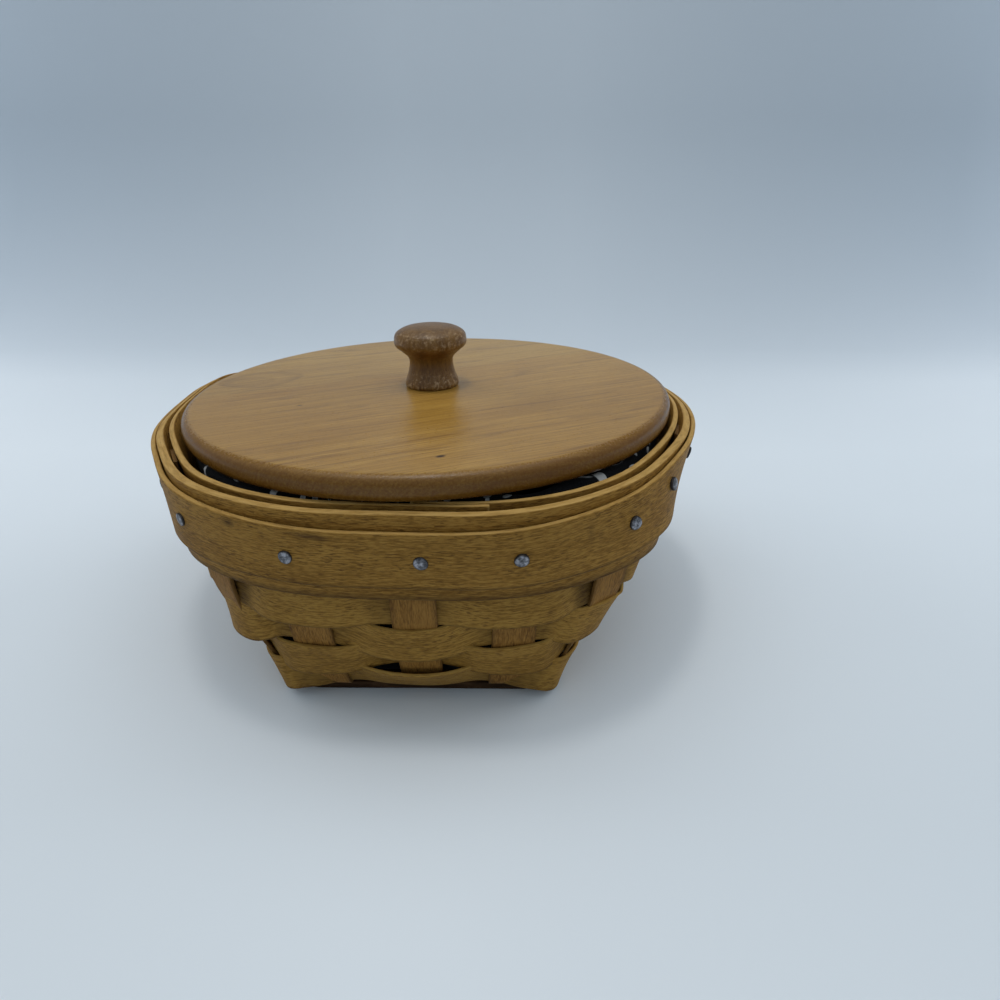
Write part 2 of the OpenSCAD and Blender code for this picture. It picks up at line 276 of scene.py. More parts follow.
def make_mesh(name, verts, faces, attrs=None, angle=38):
    me = bpy.data.meshes.new(name)
    me.from_pydata((np.asarray(verts) * MM).tolist(), [], faces)
    bm = bmesh.new()
    bm.from_mesh(me)
    bmesh.ops.recalc_face_normals(bm, faces=bm.faces)
    bm.to_mesh(me)
    bm.free()
    for key, val in (attrs or {}).items():
        val = np.asarray(val, np.float32)
        if val.ndim == 1:
            at = me.attributes.new(key, "FLOAT", "POINT")
            at.data.foreach_set("value", val)
        else:
            at = me.attributes.new(key, "FLOAT_VECTOR", "POINT")
            at.data.foreach_set("vector", val.ravel())
    me.polygons.foreach_set("use_smooth", np.ones(len(me.polygons), bool))
    me.set_sharp_from_angle(angle=math.radians(angle))
    me.update()
    ob = bpy.data.objects.new(name, me)
    bpy.context.scene.collection.objects.link(ob)
    return ob


def ring_faces(n, m, closed=False, base=0):
    faces = []
    for i in range(n if closed else n - 1):
        i2 = (i + 1) % n
        for j in range(m):
            j2 = (j + 1) % m
            faces.append((base + i * m + j, base + i * m + j2, base + i2 * m + j2, base + i2 * m + j))
    return faces


def strip(name, C, U, N, w, t, seed, r=0.34, nw=8, width=None, thick=None, crown=0.0, dark_mark=None, low=0.0, sides=0.0, dips=None):
    """A flat strip along C: U across it, N through it. width and thick scale it along its length."""
    a, b, e = section(w, t, r, nw)
    n, m = len(C), len(a)
    width = np.ones(n) if width is None else width
    thick = np.ones(n) if thick is None else thick
    bend = crown * (1 - (2 * a / w) ** 2)
    P = C[:, None] + U[:, None] * (a[None] * width[:, None])[..., None] \
        + N[:, None] * (b[None] * thick[:, None] + bend[None])[..., None]
    s = np.concatenate([[0], np.cumsum(np.linalg.norm(np.diff(C, axis=0), axis=1))])
    rng = np.random.default_rng(seed)
    shift = rng.uniform(-400, 400, 3)
    g = np.zeros((n, m, 3))
    g[..., 0] = s[:, None] + shift[0]
    g[..., 1] = a[None] + shift[1]
    g[..., 2] = b[None] + shift[2]
    edge = np.broadcast_to(e[None], (n, m)).copy()
    # how near the two long edges, and a value of its own for each strip
    rel = np.broadcast_to((a / (w / 2))[None], (n, m)).copy()
    faces = ring_faces(n, m)
    faces.append(tuple(range(m)))
    faces.append(tuple(range((n - 1) * m, n * m))[::-1])
    edge[0] = edge[-1] = 1.0
    at = {"g": g.reshape(-1, 3), "edge": edge.ravel(), "rel": rel.ravel()}
    if dark_mark is not None:
        at["dark_mark"] = (dark_mark(rel) if callable(dark_mark) else np.broadcast_to(dark_mark[:, None], (n, m))).ravel()
    # painted shade along the lower edge, along both edges and where the strip dips behind another
    painted_shade = np.maximum(low * ease(-rel, 0.90, 0.995), sides * ease(np.abs(rel), 0.88, 1.0))
    if dips is not None:
        painted_shade = np.maximum(painted_shade, dips[:, None])
    at["painted_shade"] = painted_shade.ravel()
    return make_mesh(name, P.reshape(-1, 3), faces, at)


def lathe(name, prof, n=128, attrs=None, closed_prof=False, angle=40):
    prof = np.asarray(prof, float)
    th = np.arange(n) * 2 * math.pi / n
    m = len(prof)
    P = np.zeros((n, m, 3))
    P[..., 0] = np.cos(th)[:, None] * prof[None, :, 0]
    P[..., 1] = np.sin(th)[:, None] * prof[None, :, 0]
    P[..., 2] = prof[None, :, 1]
    faces = []
    for i in range(n):
        i2 = (i + 1) % n
        for j in range(m if closed_prof else m - 1):
            j2 = (j + 1) % m
            faces.append((i * m + j, i2 * m + j, i2 * m + j2, i * m + j2))
    if not closed_prof:
        faces.append(tuple(i * m for i in range(n))[::-1])
        faces.append(tuple(i * m + m - 1 for i in range(n)))
    return P.reshape(-1, 3), faces


# ---------------------------------------------------------------- materials
class Tree:
    def __init__(self, name):
        self.mat = bpy.data.materials.new(name)
        self.mat.use_nodes = True
        self.nt = self.mat.node_tree
        self.nt.nodes.clear()
        self.out = self.nt.nodes.new("ShaderNodeOutputMaterial")
        self.bsdf = self.nt.nodes.new("ShaderNodeBsdfPrincipled")
        self.link(self.bsdf.outputs[0], self.out.inputs[0])

    def link(self, a, b):
        self.nt.links.new(a, b)

    def put(self, socket, value):
        if hasattr(value, "is_linked"):
            self.link(value, socket)
        else:
            socket.default_value = value

    def attr(self, name, what="Vector"):
        n = self.nt.nodes.new("ShaderNodeAttribute")
        n.attribute_name = name
        return n.outputs[what]

    def obj(self):
        return self.nt.nodes.new("ShaderNodeTexCoord").outputs["Object"]

    def mapping(self, vec, scale=(1, 1, 1), loc=(0, 0, 0), rot=(0, 0, 0)):
        n = self.nt.nodes.new("ShaderNodeMapping")
        self.link(vec, n.inputs["Vector"])
        n.inputs["Scale"].default_value = scale
        n.inputs["Location"].default_value = loc
        n.inputs["Rotation"].default_value = rot
        return n.outputs[0]

    def noise(self, vec, scale=1.0, detail=2.0, rough=0.5, dist=0.0):
        n = self.nt.nodes.new("ShaderNodeTexNoise")
        self.link(vec, n.inputs["Vector"])
        n.inputs["Scale"].default_value = scale
        n.inputs["Detail"].default_value = detail
        n.inputs["Roughness"].default_value = rough
        n.inputs["Distortion"].default_value = dist
        return n.outputs[0]

    def voronoi(self, vec, scale=1.0, rand=1.0, out="Distance", feature="F1"):
        n = self.nt.nodes.new("ShaderNodeTexVoronoi")
        n.feature = feature
        self.link(vec, n.inputs["Vector"])
        n.inputs["Scale"].default_value = scale
        n.inputs["Randomness"].default_value = rand
        return n.outputs[out]

    def wave(self, vec, scale=1.0, dist=0.0, detail=2.0, dscale=1.0, drough=0.5, direction="Y"):
        n = self.nt.nodes.new("ShaderNodeTexWave")
        n.bands_direction = direction
        self.link(vec, n.inputs["Vector"])
        n.inputs["Scale"].default_value = scale
        n.inputs["Distortion"].default_value = dist
        n.inputs["Detail"].default_value = detail
        n.inputs["Detail Scale"].default_value = dscale
        n.inputs["Detail Roughness"].default_value = drough
        return n.outputs["Fac"]

    def ramp(self, fac, stops, ease="LINEAR"):
        n = self.nt.nodes.new("ShaderNodeValToRGB")
        n.color_ramp.interpolation = ease
        el = n.color_ramp.elements
        while len(el) < len(stops):
            el.new(0.5)
        for x, (pos, col) in zip(el, stops):
            x.position = pos
            if not hasattr(col, "__len__"):
                col = (col, col, col)
            x.color = (*col, 1.0)
        self.link(fac, n.inputs[0])
        return n.outputs[0]

    def mix(self, fac, a, b, mode="MIX"):
        n = self.nt.nodes.new("ShaderNodeMix")
        n.data_type = "RGBA"
        n.blend_type = mode
        self.put(n.inputs[0], fac)
        for sock, val in ((n.inputs[6], a), (n.inputs[7], b)):
            if not hasattr(val, "is_linked"):
                val = (*val, 1.0)
            self.put(sock, val)
        return n.outputs[2]

    def math(self, op, a, b=0.0, c=None, clamp=False):
        n = self.nt.nodes.new("ShaderNodeMath")
        n.operation = op
        n.use_clamp = clamp
        self.put(n.inputs[0], a)
        self.put(n.inputs[1], b)
        if c is not None:
            self.put(n.inputs[2], c)
        return n.outputs[0]

    def sep(self, vec):
        n = self.nt.nodes.new("ShaderNodeSeparateXYZ")
        self.link(vec, n.inputs[0])
        return n.outputs

    def comb(self, x, y, z):
        n = self.nt.nodes.new("ShaderNodeCombineXYZ")
        for s, v in zip(n.inputs, (x, y, z)):
            self.put(s, v)
        return n.outputs[0]

    def bump(self, height, strength=0.5, dist=0.0002, normal=None):
        n = self.nt.nodes.new("ShaderNodeBump")
        n.inputs["Strength"].default_value = strength
        n.inputs["Distance"].default_value = dist
        self.link(height, n.inputs["Height"])
        if normal is not None:
            self.link(normal, n.inputs["Normal"])
        return n.outputs[0]


def splint_wood(name, light, mid, dark, fleck, edge_col, rough=0.55, flecks=0.55, edge_mix=0.6, streak=0.5):
    """Thin-cut hardwood: fine grain and short dark flecks along the strip, pale sawn edges."""
    t = Tree(name)
    g = t.attr("g")
    edge = t.attr("edge", "Fac")
    broad = t.noise(t.mapping(g, (0.010, 0.07, 0.07)), 1.0, 3.0, 0.55)
    cloud = t.noise(t.mapping(g, (0.06, 0.10, 0.10), (7, 3, 1)), 1.0, 3.0, 0.6)
    grain = t.noise(t.mapping(g, (0.10, 2.2, 2.2), (3, 9, 4)), 1.0, 3.0, 0.65, 0.1)
    fine = t.noise(t.mapping(g, (0.42, 3.0, 3.0), (11, 2, 8)), 1.0, 2.0, 0.6)
    tone = t.math("MULTIPLY_ADD", grain, streak, t.math("MULTIPLY", broad, 0.34))
    tone = t.math("MULTIPLY_ADD", fine, 0.72, tone)
    tone = t.math("MULTIPLY_ADD", cloud, 0.20, t.math("SUBTRACT", tone, 0.13 + 0.5 * streak))
    col = t.ramp(tone, [(0.36, dark), (0.47, mid), (0.59, light)])
    # flecks: short dark dashes
    dash = t.noise(t.mapping(g, (0.40, 2.9, 2.9), (5, 1, 2)), 1.0, 2.0, 0.55, 0.1)
    mask = t.noise(t.mapping(g, (0.05, 0.2, 0.2), (1, 8, 3)), 1.0, 1.0, 0.5)
    dash = t.ramp(dash, [(0.545, 0.0), (0.62, 1.0)])
    dash = t.math("MULTIPLY", dash, t.ramp(mask, [(0.30, 0.35), (0.62, 1.0)]))
    col = t.mix(t.math("MULTIPLY", dash, flecks), col, fleck)
    # pale sawn edges, rubbed darker in places
    wear = t.noise(t.mapping(g, (0.16, 0.9, 0.9), (2, 6, 5)), 1.0, 3.0, 0.6)
    em = t.math("MULTIPLY", t.ramp(edge, [(0.25, 0.0), (0.8, 1.0)]), t.ramp(wear, [(0.36, 0.45), (0.60, 1.0)]))
    col = t.mix(t.math("MULTIPLY", em, edge_mix), col, edge_col)
    # dark marks, only where a strip carries them: old smudges on the trim, and the runners drawn dark under the base
    dark_mark = t.attr("dark_mark", "Fac")
    blot = t.noise(t.mapping(g, (0.10, 0.6, 0.9), (4, 4, 1)), 1.0, 3.0, 0.65)
    dk = t.ramp(blot, [(0.36, (0.014, 0.006, 0.003)), (0.52, (0.040, 0.018, 0.008)), (0.66, (0.105, 0.052, 0.022))])
    col = t.mix(t.math("MULTIPLY", dark_mark, 0.94), col, dk)
    # painted shade in the crevices, under edges and where strips pass behind others
    painted_shade = t.math("MULTIPLY", t.attr("painted_shade", "Fac"), t.ramp(wear, [(0.30, 1.0), (0.66, 0.72)]))
    col = t.mix(painted_shade, col, (0.020, 0.0085, 0.003))
    t.put(t.bsdf.inputs["Base Color"], col)
    rr = t.math("MULTIPLY_ADD", grain, 0.16, rough - 0.08)
    t.put(t.bsdf.inputs["Roughness"], rr)
    t.bsdf.inputs["IOR"].default_value = 1.45
    t.bsdf.inputs["Specular IOR Level"].default_value = 0.12
    h = t.math("MULTIPLY_ADD", dash, -0.55, t.math("MULTIPLY_ADD", fine, 0.45, grain))
    t.put(t.bsdf.inputs["Normal"], t.bump(h, 0.45, 0.00020))
    return t.mat


def lid_wood(name, light, mid, dark, line, end, knots, figure, rough=0.30):
    """Planed board under satin varnish. g is along the grain, across it and through it; edge is 1 on the rounding."""
    t = Tree(name)
    g = t.attr("g")
    edge = t.attr("edge", "Fac")
    x, y, z = t.sep(g)
    warp = t.noise(t.mapping(g, (0.008, 0.022, 0.022), (4, 1, 0)), 1.0, 2.0, 0.5)
    y2 = t.math("MULTIPLY_ADD", warp, 5.0, t.math("MULTIPLY_ADD", z, 0.4, y))
    fine = t.noise(t.comb(t.math("MULTIPLY", x, 0.026), t.math("MULTIPLY", y2, 2.2), t.math("MULTIPLY", z, 0.3)), 1.0, 4.0, 0.62)
    band_ = t.noise(t.comb(t.math("MULTIPLY", x, 0.006), t.math("MULTIPLY", y2, 0.16), t.math("MULTIPLY", z, 0.1)), 1.0, 2.0, 0.5)
    broad = t.noise(t.mapping(g, (0.010, 0.024, 0.03), (9, 5, 2)), 1.0, 2.0, 0.5)
    tone = t.math("MULTIPLY_ADD", fine, 0.60, t.math("MULTIPLY", band_, 0.12))
    tone = t.math("MULTIPLY_ADD", broad, 0.20, t.math("ADD", tone, 0.035))
    col = t.ramp(tone, [(0.42, dark), (0.495, mid), (0.57, light)])
    # thin dark grain lines that run on with the grain
    for sx, sy, at, wide, amount in ((0.007, 0.17, 1.0, 0.020, 0.50), (0.010, 0.26, 5.0, 0.016, 0.42), (0.012, 0.40, 9.0, 0.014, 0.30)):
        n = t.noise(t.comb(t.math("MULTIPLY_ADD", x, sx, at), t.math("MULTIPLY", y2, sy), t.math("MULTIPLY", z, 0.05)), 1.0, 2.0, 0.45)
        ln = t.ramp(t.math("ABSOLUTE", t.math("SUBTRACT", n, 0.5)), [(wide * 0.35, 1.0), (wide, 0.0)])
        broken = t.ramp(t.noise(t.mapping(g, (0.035, 0.3, 0.3), (at, 2, 3)), 1.0, 2.0), [(0.36, 0.25), (0.55, 1.0)])
        col = t.mix(t.math("MULTIPLY", t.math("MULTIPLY", ln, broken), amount), col, line)
    pore = t.noise(t.mapping(g, (0.30, 3.6, 3.6), (2, 5, 9)), 1.0, 1.0, 0.5)
    po = t.ramp(pore, [(0.58, 0.0), (0.72, 1.0)])
    col = t.mix(t.math("MULTIPLY", po, 0.45), col, line)
    # figure: pointed dark loops where the cut meets the rings
    for cx, cy, length, wide, amount in figure:
        dx = t.math("MULTIPLY", t.math("SUBTRACT", x, cx), 1.0 / length)
        dy = t.math("MULTIPLY", t.math("SUBTRACT", t.math("MULTIPLY_ADD", warp, 5.0, y), cy + 2.5), 1.0 / wide)
        rad = t.math("ADD", t.math("POWER", t.math("ABSOLUTE", dx), 1.4), t.math("POWER", t.math("ABSOLUTE", dy), 1.6))
        rim = t.ramp(rad, [(0.50, 0.10), (0.90, 1.0), (1.10, 0.0)])
        wob = t.noise(t.mapping(g, (0.05, 0.25, 0.25)), 1.0, 2.0)
        col = t.mix(t.math("MULTIPLY", t.math("MULTIPLY", rim, amount), t.ramp(wob, [(0.3, 0.3), (0.6, 1.0)])), col, line)
    for kx, ky, kl, kw, amount in knots:
        dx = t.math("MULTIPLY", t.math("SUBTRACT", x, kx), 1.0 / kl)
        dy = t.math("MULTIPLY", t.math("SUBTRACT", y, ky), 1.0 / kw)
        rad = t.math("SQRT", t.math("ADD", t.math("MULTIPLY", dx, dx), t.math("MULTIPLY", dy, dy)))
        spot = t.ramp(rad, [(0.45, 1.0), (1.0, 0.0)])
        col = t.mix(t.math("MULTIPLY", spot, amount), col, (0.035, 0.014, 0.006))
    # painted shade: the rounded edge is painted darker, as it falls into shade, and its pores stand open
    grit = t.noise(t.mapping(g, (1.6, 1.6, 1.6), (3, 1, 7)), 1.0, 3.0, 0.65)
    em = t.math("MULTIPLY", t.ramp(edge, [(0.03, 0.0), (0.28, 0.50), (0.85, 1.0)]), t.ramp(grit, [(0.30, 0.98), (0.68, 0.72)]))
    col = t.mix(em, col, end)
    t.put(t.bsdf.inputs["Base Color"], col)
    t.put(t.bsdf.inputs["Roughness"], t.math("MULTIPLY_ADD", edge, -0.08, t.math("MULTIPLY_ADD", grit, 0.16, rough - 0.08)))
    t.bsdf.inputs["IOR"].default_value = 1.5
    t.put(t.bsdf.inputs["Specular IOR Level"], t.math("MULTIPLY_ADD", edge, -0.16, 0.38))
    t.bsdf.inputs["Coat Weight"].default_value = 0.04
    t.bsdf.inputs["Coat Roughness"].default_value = 0.16
    peel = t.noise(t.mapping(g, (0.5, 1.1, 1.1), (3, 1, 7)), 1.0, 3.0, 0.6)
    h = t.math("MULTIPLY_ADD", po, -0.30, t.math("MULTIPLY_ADD", fine, 0.4, t.math("MULTIPLY", peel, 0.4)))
    h = t.math("ADD", h, t.math("MULTIPLY", t.math("MULTIPLY", edge, grit), 7.0))
    t.put(t.bsdf.inputs["Normal"], t.bump(h, 0.24, 0.00012))
    return t.mat


def knob_wood(name):
    t = Tree(name)
    g = t.attr("g")
    x, y, z = t.sep(g)
    vec = t.comb(t.math("MULTIPLY", x, 0.5), t.math("MULTIPLY", y, 0.5), t.math("MULTIPLY", z, 0.06))
    broad = t.noise(vec, 0.55, 3.0, 0.6, 0.4)
    grain = t.noise(t.mapping(g, (2.2, 2.2, 0.16), (1, 4, 2)), 1.0, 3.0, 0.6)
    pore = t.noise(t.mapping(g, (3.6, 3.6, 0.5), (6, 2, 2)), 1.0, 1.5, 0.5)
    tone = t.math("MULTIPLY_ADD", grain, 0.5, t.math("MULTIPLY", broad, 0.5))
    col = t.ramp(tone, [(0.34, (0.085, 0.036, 0.006)), (0.50, (0.150, 0.070, 0.013)), (0.68, (0.225, 0.116, 0.026))])
    po = t.ramp(pore, [(0.60, 0.0), (0.72, 1.0)])
    col = t.mix(t.math("MULTIPLY", po, 0.45), col, (0.030, 0.011, 0.004))
    # varnish rubbed pale on the highest curves, and a painted highlight round the foot
    wear_and_highlight = t.attr("wear_and_highlight", "Fac")
    spots = t.noise(t.mapping(g, (0.85, 0.85, 0.85), (2, 2, 5)), 1.0, 5.0, 0.7)
    pale_wear_and_highlight = t.math("MULTIPLY", wear_and_highlight, t.ramp(spots, [(0.50, 0.0), (0.64, 1.0)]))
    col = t.mix(t.math("MULTIPLY", pale_wear_and_highlight, 0.62), col, (0.44, 0.30, 0.16))
    t.put(t.bsdf.inputs["Base Color"], col)
    t.put(t.bsdf.inputs["Roughness"], t.math("MULTIPLY_ADD", spots, 0.30, 0.22))
    t.bsdf.inputs["IOR"].default_value = 1.5
    t.bsdf.inputs["Specular IOR Level"].default_value = 0.38
    t.bsdf.inputs["Coat Weight"].default_value = 0.05
    t.bsdf.inputs["Coat Roughness"].default_value = 0.2
    h = t.math("MULTIPLY_ADD", po, -0.6, t.math("MULTIPLY_ADD", spots, 0.7, grain))
    t.put(t.bsdf.inputs["Normal"], t.bump(h, 0.35, 0.00018))
    return t.mat


def tack_steel(name):
    t = Tree(name)
    g = t.attr("g")
    rim = t.attr("edge", "Fac")
    blotch = t.noise(t.mapping(g, (0.9, 0.9, 0.9)), 1.0, 3.0, 0.6)
    fine = t.noise(t.mapping(g, (4.0, 4.0, 4.0)), 1.0, 2.0, 0.6)
    col = t.ramp(blotch, [(0.36, (0.055, 0.055, 0.062)), (0.50, (0.150, 0.152, 0.168)), (0.66, (0.42, 0.42, 0.46))])
    # painted shadow: a dark ring round the rim of each head, where it sits on the trim
    col = t.mix(t.ramp(rim, [(0.70, 0.0), (0.93, 0.95)]), col, (0.020, 0.014, 0.010))
    t.put(t.bsdf.inputs["Base Color"], col)
    t.bsdf.inputs["Metallic"].default_value = 0.55
    t.put(t.bsdf.inputs["Roughness"], t.math("MULTIPLY_ADD", blotch, 0.35, 0.28))
    h = t.math("MULTIPLY_ADD", fine, 0.3, blotch)
    t.put(t.bsdf.inputs["Normal"], t.bump(h, 0.5, 0.00025))
    return t.mat


def screw_steel(name):
    t = Tree(name)
    o = t.mapping(t.obj(), (1000, 1000, 1000))
    ring = t.noise(t.mapping(o, (1.2, 1.2, 6.0)), 1.0, 3.0, 0.6)
    blotch = t.noise(t.mapping(o, (0.5, 0.5, 0.5)), 1.0, 3.0, 0.6)
    col = t.ramp(blotch, [(0.35, (0.30, 0.29, 0.27)), (0.65, (0.55, 0.54, 0.52))])
    t.put(t.bsdf.inputs["Base Color"], col)
    t.bsdf.inputs["Metallic"].default_value = 1.0
    t.put(t.bsdf.inputs["Roughness"], t.math("MULTIPLY_ADD", ring, 0.25, 0.25))
    t.put(t.bsdf.inputs["Normal"], t.bump(ring, 0.2, 0.0001))
    return t.mat


def liner_cloth(name):
    """Black plain-weave cotton with a scatter of small pale flecks."""
    t = Tree(name)
    g = t.attr("g")
    x, y, z = t.sep(g)
    warp_ = t.math("SINE", t.math("MULTIPLY", x, 2 * math.pi / 0.62))
    weft = t.math("SINE", t.math("MULTIPLY", y, 2 * math.pi / 0.62))
    weave = t.math("MULTIPLY", warp_, weft)
    fuzz = t.noise(t.mapping(g, (1.4, 1.4, 1.4)), 1.0, 3.0, 0.6)
    base = t.ramp(fuzz, [(0.3, (0.0035, 0.0035, 0.0042)), (0.7, (0.012, 0.012, 0.0135))])
    # painted shade: the flecks show only at the turned-over mouth, and lower down the cloth is left plain black for the
    # shade deep inside
    mouth = t.ramp(t.sep(t.obj())[2], [(0.050, 0.03), (0.060, 1.0)])
    col = base
    for k, (ang, sx, sy, off_, lo, hi) in enumerate(((0.6, 0.19, 0.076, (3, 1, 0), 0.25, 0.28),
                                                     (-0.7, 0.175, 0.069, (9, 5, 0), 0.24, 0.27),
                                                     (0.0, 0.076, 0.20, (17, 2, 0), 0.19, 0.22))):
        p = t.mapping(t.comb(x, y, 0.0), (1, 1, 1), off_, (0, 0, ang))
        p = t.mapping(p, (sx, sy, 1.0))
        d = t.voronoi(p, 1.0, 0.9)
        col = t.mix(t.math("MULTIPLY", t.ramp(d, [(lo, 0.92), (hi, 0.0)]), mouth), col, (0.72, 0.72, 0.70))
    t.put(t.bsdf.inputs["Base Color"], col)
    t.bsdf.inputs["Roughness"].default_value = 0.9
    t.bsdf.inputs["Specular IOR Level"].default_value = 0.15
    t.bsdf.inputs["Sheen Weight"].default_value = 0.03
    t.bsdf.inputs["Sheen Roughness"].default_value = 0.5
    t.put(t.bsdf.inputs["Normal"], t.bump(t.math("MULTIPLY_ADD", fuzz, 0.6, weave), 0.35, 0.00015))
    return t.mat


def floor_paint(name):
    t = Tree(name)
    o = t.obj()
    n1 = t.noise(t.mapping(o, (3, 3, 3)), 1.0, 3.0, 0.5)
    n2 = t.noise(t.mapping(o, (260, 260, 260)), 1.0, 2.0, 0.5)
    col = t.ramp(n1, [(0.3, (0.720, 0.765, 0.795)), (0.7, (0.745, 0.785, 0.812))])
    x, y, z = t.sep(o)
    # painted shade: darker towards the back and up the backdrop
    col = t.mix(t.ramp(y, [(0.14, 0.0), (0.62, 1.0)]), col, (0.475, 0.525, 0.570))
    # painted shade in the two back corners
    back_corner_shade = t.math("MULTIPLY", t.ramp(t.math("ABSOLUTE", x), [(0.10, 0.0), (0.55, 1.0)]), t.ramp(y, [(0.30, 0.0), (0.62, 1.0)]))
    col = t.mix(t.math("MULTIPLY", back_corner_shade, 0.85), col, (0.270, 0.320, 0.370))
    t.put(t.bsdf.inputs["Base Color"], col)
    t.bsdf.inputs["Roughness"].default_value = 0.55
    t.bsdf.inputs["Specular IOR Level"].default_value = 0.25
    t.put(t.bsdf.inputs["Normal"], t.bump(n2, 0.05, 0.0003))
    return t.mat


M_BAND = splint_wood("wood_band", (0.336, 0.177, 0.0370), (0.263, 0.132, 0.0238), (0.179, 0.083, 0.0132),
                     (0.078, 0.032, 0.0062), (0.560, 0.350, 0.1144), 0.58, 0.72, 0.8)
M_TRIM = splint_wood("wood_trim", (0.342, 0.183, 0.0387), (0.269, 0.136, 0.0255), (0.185, 0.088, 0.0141),
                     (0.073, 0.030, 0.0062), (0.515, 0.319, 0.1012), 0.58, 0.74, 0.75)
M_WEAVER = splint_wood("wood_weaver", (0.347, 0.191, 0.0396), (0.274, 0.143, 0.0264), (0.188, 0.093, 0.0150),
                       (0.095, 0.041, 0.0079), (0.470, 0.288, 0.0792), 0.58, 0.72, 0.6)
M_UPRIGHT = splint_wood("wood_upright", (0.297, 0.149, 0.0334), (0.233, 0.110, 0.0229), (0.165, 0.073, 0.0141),
                        (0.094, 0.040, 0.0097), (0.341, 0.194, 0.0616), 0.60, 0.70, 0.3)
# knots: along, across, half length, half width, strength; figure: along, across, half length, half width, strength
# the fifth colour, end, is the painted shade of the rounded edge
M_LID_F = lid_wood("wood_lid_front", (0.430, 0.238, 0.048), (0.366, 0.194, 0.036), (0.296, 0.148, 0.025), (0.150, 0.066, 0.012), (0.118, 0.046, 0.005),
                   [(-19.7, -67.3, 1.7, 1.0, 0.95), (-47.0, -4.9, 1.2, 0.7, 0.8)], [(22.5, -1.3, 15, 4.0, 0.40)])
M_LID_B = lid_wood("wood_lid_back", (0.450, 0.262, 0.060), (0.386, 0.216, 0.046), (0.316, 0.168, 0.033), (0.160, 0.076, 0.016), (0.118, 0.046, 0.005),
                   [], [(-55.5, 34.7, 16, 12.0, 0.55), (-60.0, 33.0, 10, 7.0, 0.35), (52.0, 48.0, 22, 4.0, 0.35)])
M_KNOB = knob_wood("wood_knob")
M_TACK = tack_steel("steel_tack")
M_SCREW = screw_steel("steel_screw")
M_LINER = liner_cloth("cloth_liner")
M_FLOOR = floor_paint("pale_floor")


def seat(verts):
    """The loose lid sits a hair low at the left and off the middle."""
    v = np.array(verts, float)
    v[:, 2] += v[:, 0] * LID_TILT
    v[:, 0] += LID_SHIFT[0]
    v[:, 1] += LID_SHIFT[1]
    return v


def dress(ob, mat, body, slot, *nodes):
    ob.data.materials.clear()
    ob.data.materials.append(mat)
    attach(ob, body)
    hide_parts(*nodes)
    return ob


# ---------------------------------------------------------------- weavers
# row: middle height, how much lower it runs outside than inside, lean of its lower edge outwards
# (degrees) at the ends, the corners and the sides, and its lift and push outwards at the corners
ROWS = {1: (10.4, 0.6, -14.0, 13.0, 1.0, -0.9, 1.7), 2: (20.1, 1.4, -3.0, 5.0, 2.0, 0.0, 0.0),
        3: (28.7, 1.7, 6.0, 9.0, 4.0, 1.1, 0.0), 4: (40.3, 0.3, 5.0, 9.0, 4.0, 0.0, 0.0), 5: (53.0, 0, 0, 0, 0, 0, 0)}


def corner_share(k):
    """1 at the four corners of the foot, 0 on its straight runs."""
    m = np.mod(np.asarray(k, float) - 1, 10)
    d = np.minimum(np.abs(m - 1.5), np.abs(m - 8.5))
    return np.exp(-(d / 0.75) ** 2)


def sway(k, odd):
    return np.tanh(2.2 * np.cos(np.pi * (np.asarray(k, float) + odd))) / math.tanh(2.2)


def weaver(row):
    odd = 0 if row % 2 == 0 else 1
    # the ends meet behind an upright at the back, where the row runs inside
    start = 11.0 if odd == 0 else 10.0
    n = 430
    k = start + np.linspace(0.012, NS - 0.012, n)
    s = sway(k, odd)
    amp = 1.45 if row < 5 else 0.92
    mid, dip, lean_end, lean_corner, lean_side, lift, push = ROWS[row]
    corner = corner_share(k)
    end = (1 - ease(quarter_of(k), 0.7, 1.7)) * (1 - corner)
    if row < 5:
        s = s + 0.8 * end * (1.04 * np.cos(math.pi * (k + odd)) - s)
    o = amp * s + wander(n, 9, 40 + row, 0.10 if row < 5 else 0.02) + push * corner
    z = mid - dip * s + wander(n, 26, 60 + row, 0.2) + lift * corner
    # the lowest row rides up a little at the ends, and the third is pulled up and out at the left corner
    left = np.exp(-((np.mod(k - 19 + 10, NS) - 10) / 0.8) ** 2)
    z = z + (0.5 * end if row == 1 else 1.0 * left if row == 3 else 0.0)
    v = v_of(z)
    C = off(k, v, o)
    T = np.gradient(C, axis=0)
    T = unit(T)
    U0 = upward(k, v)
    U0 = unit(U0 - T * (U0 * T).sum(-1, keepdims=True))
    N0 = unit(np.cross(T, U0))
    tilt = np.radians(lean_end * end + lean_corner * corner + lean_side * (1 - end - corner) + wander(n, 30, 80 + row, 0.8))
    if row == 3:
        tilt = tilt + np.radians(14) * left
    if row == 5:
        tilt = tilt * 0
    U = U0 * np.cos(tilt)[:, None] - N0 * np.sin(tilt)[:, None]
    N = N0 * np.cos(tilt)[:, None] + U0 * np.sin(tilt)[:, None]
    h = 12.6 if row < 5 else 10.9
    width = 1 + wander(n, 14, 20 + row, 0.008)
    if row == 1:
        width = width - 0.14 * end
    # painted shade where the row dips behind an upright, darkest next to the corners of the fourth row; low adds
    # painted shade along its lower edge
    deep = np.exp(-((quarter_of(k) - 2) / 0.5) ** 2) if row == 4 else 0.0
    dips = (0.36 + 0.56 * deep) * ease(-s, 0.05, 0.95)
    ob = strip(f"weaver_{row}_splint", C, U, N, h, SPLINT_T if row < 5 else 0.7, 100 + row, width=width, crown=-0.06, nw=18, low=0.9, dips=dips)
    dress(ob, M_WEAVER, "basket", "weaver", f"weaver_{row}")
    return ob


for _row in range(1, 6):
    weaver(_row)


# ---------------------------------------------------------------- uprights and base
def step(u):
    f = np.mod(u, 2)
    w = np.where(f > 1, 2 - f, f)
    return np.clip(1 - (w - 0.30) / 0.20, -1, 1)


